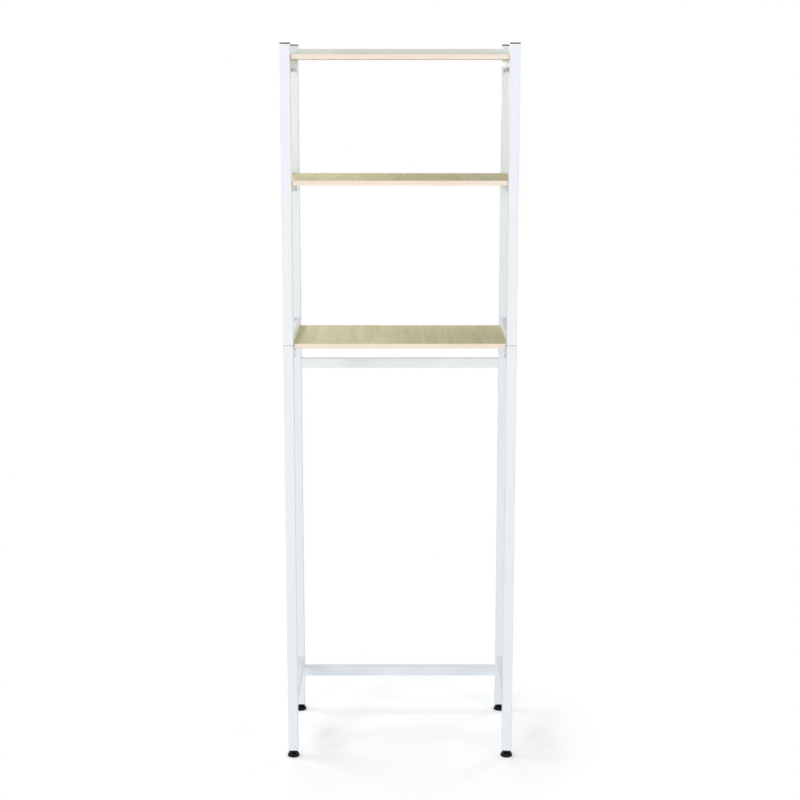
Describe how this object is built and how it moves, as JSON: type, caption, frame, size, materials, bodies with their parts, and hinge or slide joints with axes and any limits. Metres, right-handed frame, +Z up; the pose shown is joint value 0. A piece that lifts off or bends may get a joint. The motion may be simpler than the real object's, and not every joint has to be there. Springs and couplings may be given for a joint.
{
  "type": "over the toilet storage rack",
  "caption": "Tall free-standing rack of white square tube with wood-grain shelves over a bay that straddles a toilet, on screw-in levelling feet.",
  "frame": {"origin": "middle of the footprint, on the floor under the foot pads", "axes": "+Z up, -Y to the front, +X to the right as seen from the front"},
  "size_m": [0.5866, 0.361, 1.822],
  "materials": {
    "frame_paint": "satin powder coat",
    "shelf_board": "satin wood-grain laminate",
    "shelf_edging": "satin",
    "black_plastic": "satin",
    "foot_plastic": "gloss",
    "stud_steel": "zinc plated thread",
    "bright_bolt": "zinc plated",
    "shelf_fastener": "zinc plated"
  },
  "bodies": {
    "frame": {"back_rail_bolts": "bright_bolt", "back_rail_end_plugs": "black_plastic", "bottom_back_rail": "frame_paint", "bottom_side_rail_left": "frame_paint", "bottom_side_rail_right": "frame_paint", "foot_insert_back_left": "black_plastic", "foot_insert_back_right": "black_plastic", "foot_insert_front_left": "black_plastic", "foot_insert_front_right": "black_plastic", "leg_joiner_back_left": "black_plastic", "leg_joiner_back_right": "black_plastic", "leg_joiner_front_left": "black_plastic", "leg_joiner_front_right": "black_plastic", "lower_back_rail": "frame_paint", "lower_leg_back_left": "frame_paint", "lower_leg_back_right": "frame_paint", "lower_leg_front_left": "frame_paint", "lower_leg_front_right": "frame_paint", "lower_shelf": "shelf_board", "lower_shelf_bolts": "shelf_fastener", "lower_shelf_edging": "shelf_edging", "lower_shelf_rail_left": "frame_paint", "lower_shelf_rail_right": "frame_paint", "lower_shelf_wing_nuts": "shelf_fastener", "middle_shelf": "shelf_board", "middle_shelf_bolts": "shelf_fastener", "middle_shelf_edging": "shelf_edging", "middle_shelf_rail_left": "frame_paint", "middle_shelf_rail_right": "frame_paint", "middle_shelf_wing_nuts": "shelf_fastener", "top_back_rail": "frame_paint", "top_cap_back_left": "black_plastic", "top_cap_back_right": "black_plastic", "top_cap_front_left": "black_plastic", "top_cap_front_right": "black_plastic", "top_shelf": "shelf_board", "top_shelf_bolts": "shelf_fastener", "top_shelf_edging": "shelf_edging", "top_shelf_rail_left": "frame_paint", "top_shelf_rail_right": "frame_paint", "top_shelf_wing_nuts": "shelf_fastener", "upper_base_rail_left": "frame_paint", "upper_base_rail_right": "frame_paint", "upper_leg_back_left": "frame_paint", "upper_leg_back_right": "frame_paint", "upper_leg_front_left": "frame_paint", "upper_leg_front_right": "frame_paint"},
    "pad_front_left": {"foot_pad_front_left": "foot_plastic"},
    "screw_front_left": {"foot_stud_front_left": "stud_steel", "foot_collar_front_left": "foot_plastic"},
    "pad_front_right": {"foot_pad_front_right": "foot_plastic"},
    "screw_front_right": {"foot_stud_front_right": "stud_steel", "foot_collar_front_right": "foot_plastic"},
    "pad_back_left": {"foot_pad_back_left": "foot_plastic"},
    "screw_back_left": {"foot_stud_back_left": "stud_steel", "foot_collar_back_left": "foot_plastic"},
    "pad_back_right": {"foot_pad_back_right": "foot_plastic"},
    "screw_back_right": {"foot_stud_back_right": "stud_steel", "foot_collar_back_right": "foot_plastic"}
  },
  "joints": [
    {"name": "foot_lift_front_left", "type": "slide", "parent": "frame", "child": "pad_front_left", "axis": [0, 0, -1], "range_m": [0, 0.01]},
    {"name": "foot_turn_front_left", "type": "hinge", "parent": "pad_front_left", "child": "screw_front_left", "pos_m": [-0.2775, -0.165, 0], "axis": [0, 0, -1], "range_deg": [0, 2880]},
    {"name": "foot_lift_front_right", "type": "slide", "parent": "frame", "child": "pad_front_right", "axis": [0, 0, -1], "range_m": [0, 0.01]},
    {"name": "foot_turn_front_right", "type": "hinge", "parent": "pad_front_right", "child": "screw_front_right", "pos_m": [0.2775, -0.165, 0], "axis": [0, 0, -1], "range_deg": [0, 2880]},
    {"name": "foot_lift_back_left", "type": "slide", "parent": "frame", "child": "pad_back_left", "axis": [0, 0, -1], "range_m": [0, 0.01]},
    {"name": "foot_turn_back_left", "type": "hinge", "parent": "pad_back_left", "child": "screw_back_left", "pos_m": [-0.2775, 0.165, 0], "axis": [0, 0, -1], "range_deg": [0, 2880]},
    {"name": "foot_lift_back_right", "type": "slide", "parent": "frame", "child": "pad_back_right", "axis": [0, 0, -1], "range_m": [0, 0.01]},
    {"name": "foot_turn_back_right", "type": "hinge", "parent": "pad_back_right", "child": "screw_back_right", "pos_m": [0.2775, 0.165, 0], "axis": [0, 0, -1], "range_deg": [0, 2880]}
  ],
  "couplings": [
    {"joint": "foot_lift_front_left", "follows": "foot_turn_front_left", "m_per_rad": 0.00019894},
    {"joint": "foot_lift_front_right", "follows": "foot_turn_front_right", "m_per_rad": 0.00019894},
    {"joint": "foot_lift_back_left", "follows": "foot_turn_back_left", "m_per_rad": 0.00019894},
    {"joint": "foot_lift_back_right", "follows": "foot_turn_back_right", "m_per_rad": 0.00019894}
  ]
}
